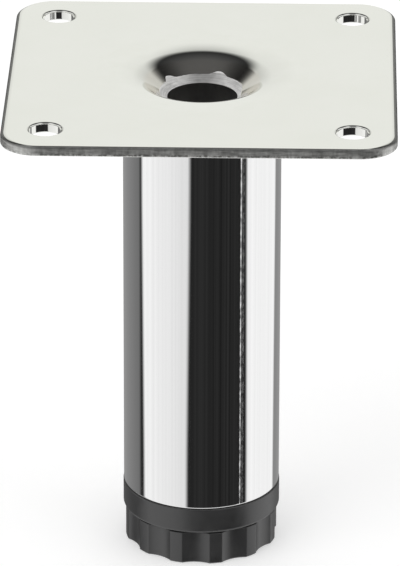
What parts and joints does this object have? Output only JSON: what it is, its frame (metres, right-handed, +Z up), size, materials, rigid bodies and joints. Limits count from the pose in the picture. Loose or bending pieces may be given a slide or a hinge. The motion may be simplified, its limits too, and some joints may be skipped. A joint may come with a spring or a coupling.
{
  "type": "height adjustable table leg",
  "caption": "Short round table leg: a square pressed screw plate on a chromed tube, with a plastic insert and a fluted screw foot that sets the height.",
  "frame": {"origin": "on the floor, under the middle of the foot, with the foot screwed right in", "axes": "+Z up along the tube's axis to the screw plate; X and Y along the plate's sides"},
  "size_m": [0.073, 0.073, 0.096],
  "materials": {
    "plate_chrome": "bright plated steel sheet, polished on its upper face",
    "tube_chrome": "bright plated steel tube, mirror polished along its length",
    "insert_plastic": "black moulded plastic, semi-matt",
    "zinc_steel": "zinc plated steel",
    "foot_plastic": "black moulded plastic, semi-matt, with smooth flutes"
  },
  "bodies": {
    "leg": {"mounting_plate": "plate_chrome", "leg_tube": "tube_chrome", "tube_insert": "insert_plastic", "thread_nut": "zinc_steel"},
    "spindle": {"adjusting_spindle": "zinc_steel"},
    "foot": {"adjusting_foot": "foot_plastic"}
  },
  "joints": [
    {"name": "spindle_travel", "type": "slide", "parent": "leg", "child": "spindle", "axis": [0, 0, -1], "range_m": [0, 0.015]},
    {"name": "foot_turn", "type": "hinge", "parent": "spindle", "child": "foot", "pos_m": [0, 0, 0.0035], "axis": [0, 0, -1], "range_deg": [0, 4320]}
  ],
  "couplings": [
    {"joint": "spindle_travel", "follows": "foot_turn", "m_per_rad": 0.00019894}
  ]
}
